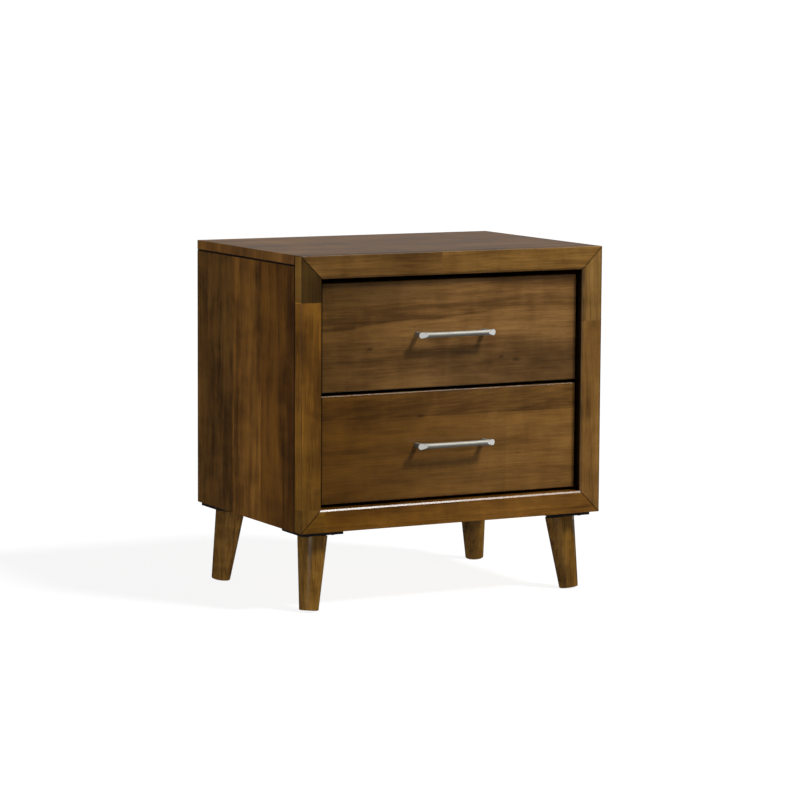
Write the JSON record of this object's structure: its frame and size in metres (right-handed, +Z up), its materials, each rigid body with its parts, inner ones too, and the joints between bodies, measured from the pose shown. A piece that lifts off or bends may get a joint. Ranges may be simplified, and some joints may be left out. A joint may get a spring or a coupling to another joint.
{
  "type": "nightstand",
  "caption": "Low bedside cabinet with a mitred face frame, inset sliding drawers with bar pulls, and splayed tapered legs.",
  "frame": {"origin": "centre of the whole object's box in X and Y, on the floor under the feet", "axes": "+Z up, front and handles towards -Y, +X to the right of a person facing the front"},
  "size_m": [0.61, 0.4454, 0.633],
  "materials": {
    "case_veneer": "satin lacquer over warm medium-brown veneer",
    "drawer_front_veneer": "satin lacquer over warm medium-brown veneer with dark streaks",
    "leg_wood": "satin lacquer over stained solid wood",
    "drawer_wood": "clear-sealed light hardwood",
    "plywood": "sealed plywood",
    "satin_nickel": "satin nickel plating",
    "zinc_steel": "bright zinc plating",
    "black_steel": "black painted steel, semi-gloss"
  },
  "bodies": {
    "cabinet": {"frame_top_rail": "case_veneer", "frame_bottom_rail": "case_veneer", "frame_left_stile": "case_veneer", "frame_right_stile": "case_veneer", "top_panel": "case_veneer", "side_panel_right": "case_veneer", "side_panel_left": "case_veneer", "bottom_panel": "case_veneer", "back_panel": "plywood", "divider_rail": "drawer_wood", "leg_plate_front_left": "black_steel", "leg_front_left": "leg_wood", "hanger_bolt_front_left": "zinc_steel", "leg_plate_front_right": "black_steel", "leg_front_right": "leg_wood", "hanger_bolt_front_right": "zinc_steel", "leg_plate_rear_left": "black_steel", "leg_rear_left": "leg_wood", "hanger_bolt_rear_left": "zinc_steel", "leg_plate_rear_right": "black_steel", "leg_rear_right": "leg_wood", "hanger_bolt_rear_right": "zinc_steel", "upper_runner_strip_left": "drawer_wood", "upper_slide_cabinet_left": "zinc_steel", "upper_runner_strip_right": "drawer_wood", "upper_slide_cabinet_right": "zinc_steel", "lower_runner_strip_left": "drawer_wood", "lower_slide_cabinet_left": "zinc_steel", "lower_runner_strip_right": "drawer_wood", "lower_slide_cabinet_right": "zinc_steel"},
    "upper_slide_middles": {"upper_slide_middle_left": "zinc_steel", "upper_slide_middle_right": "zinc_steel"},
    "upper_drawer": {"upper_drawer_front": "drawer_front_veneer", "upper_box_side_right": "drawer_wood", "upper_box_side_left": "drawer_wood", "upper_box_front": "drawer_wood", "upper_box_back": "drawer_wood", "upper_box_bottom": "plywood", "upper_handle": "satin_nickel", "upper_handle_screw_left": "zinc_steel", "upper_slide_drawer_left": "zinc_steel", "upper_handle_screw_right": "zinc_steel", "upper_slide_drawer_right": "zinc_steel"},
    "lower_slide_middles": {"lower_slide_middle_left": "zinc_steel", "lower_slide_middle_right": "zinc_steel"},
    "lower_drawer": {"lower_drawer_front": "drawer_front_veneer", "lower_box_side_right": "drawer_wood", "lower_box_side_left": "drawer_wood", "lower_box_front": "drawer_wood", "lower_box_back": "drawer_wood", "lower_box_bottom": "plywood", "lower_handle": "satin_nickel", "lower_handle_screw_left": "zinc_steel", "lower_slide_drawer_left": "zinc_steel", "lower_handle_screw_right": "zinc_steel", "lower_slide_drawer_right": "zinc_steel"}
  },
  "joints": [
    {"name": "upper_drawer_slide", "type": "slide", "parent": "cabinet", "child": "upper_drawer", "axis": [0, -1, 0], "range_m": [0, 0.3]},
    {"name": "upper_slide_middle_travel", "type": "slide", "parent": "cabinet", "child": "upper_slide_middles", "axis": [0, -1, 0], "range_m": [0, 0.15]},
    {"name": "lower_drawer_slide", "type": "slide", "parent": "cabinet", "child": "lower_drawer", "axis": [0, -1, 0], "range_m": [0, 0.3]},
    {"name": "lower_slide_middle_travel", "type": "slide", "parent": "cabinet", "child": "lower_slide_middles", "axis": [0, -1, 0], "range_m": [0, 0.15]}
  ],
  "couplings": [
    {"joint": "upper_slide_middle_travel", "follows": "upper_drawer_slide", "ratio": 0.5},
    {"joint": "lower_slide_middle_travel", "follows": "lower_drawer_slide", "ratio": 0.5}
  ]
}
